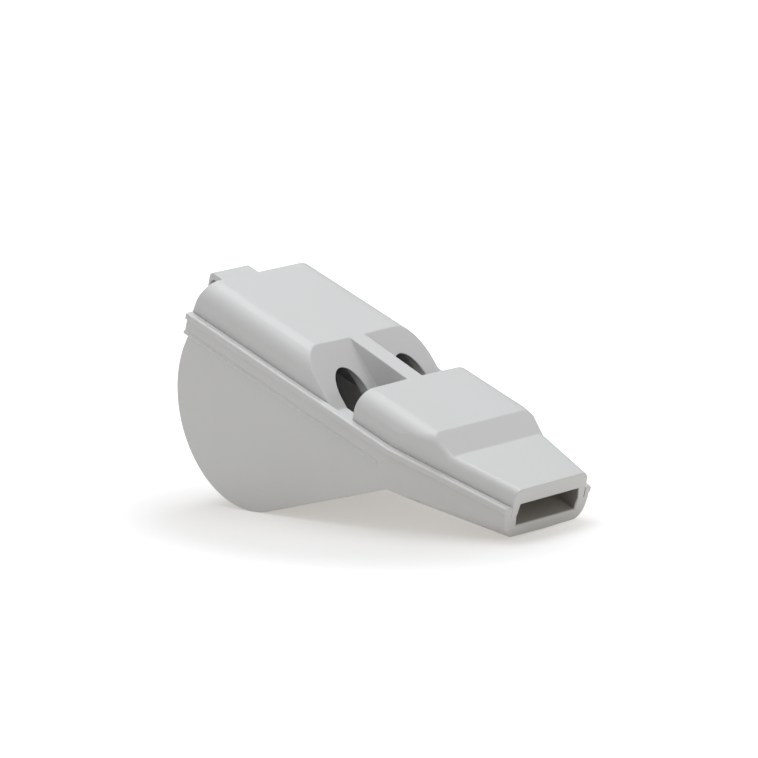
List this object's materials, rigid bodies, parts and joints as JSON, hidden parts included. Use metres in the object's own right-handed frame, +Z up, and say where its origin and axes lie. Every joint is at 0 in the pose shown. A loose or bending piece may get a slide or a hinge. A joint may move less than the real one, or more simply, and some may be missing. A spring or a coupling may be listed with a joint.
{
  "type": "sports whistle",
  "caption": "Pealess referee whistle in pale grey plastic: round flat-sided barrel, raised block with arched windows, raised hump and a flat narrowing mouthpiece.",
  "frame": {"origin": "On the ground under the middle of the outline. The whistle is put down as it comes to rest by itself, on the bottom of its barrel and the lower edge of its mouth.", "axes": "+X runs from the lug towards the mouth, level with the ground, +Y across the whistle, +Z up. The rim falls towards the mouth by 21.4 degrees."},
  "size_m": [0.0526, 0.0196, 0.0269],
  "materials": {
    "shell_plastic": "satin moulded plastic, light grey",
    "cover_plastic": "satin moulded plastic, light grey",
    "insert_plastic": "plain moulded plastic, light grey"
  },
  "bodies": {
    "root": {"lower_shell": "shell_plastic", "top_cover": "cover_plastic", "windway_insert": "insert_plastic", "chamber_divider": "insert_plastic"}
  },
  "joints": []
}
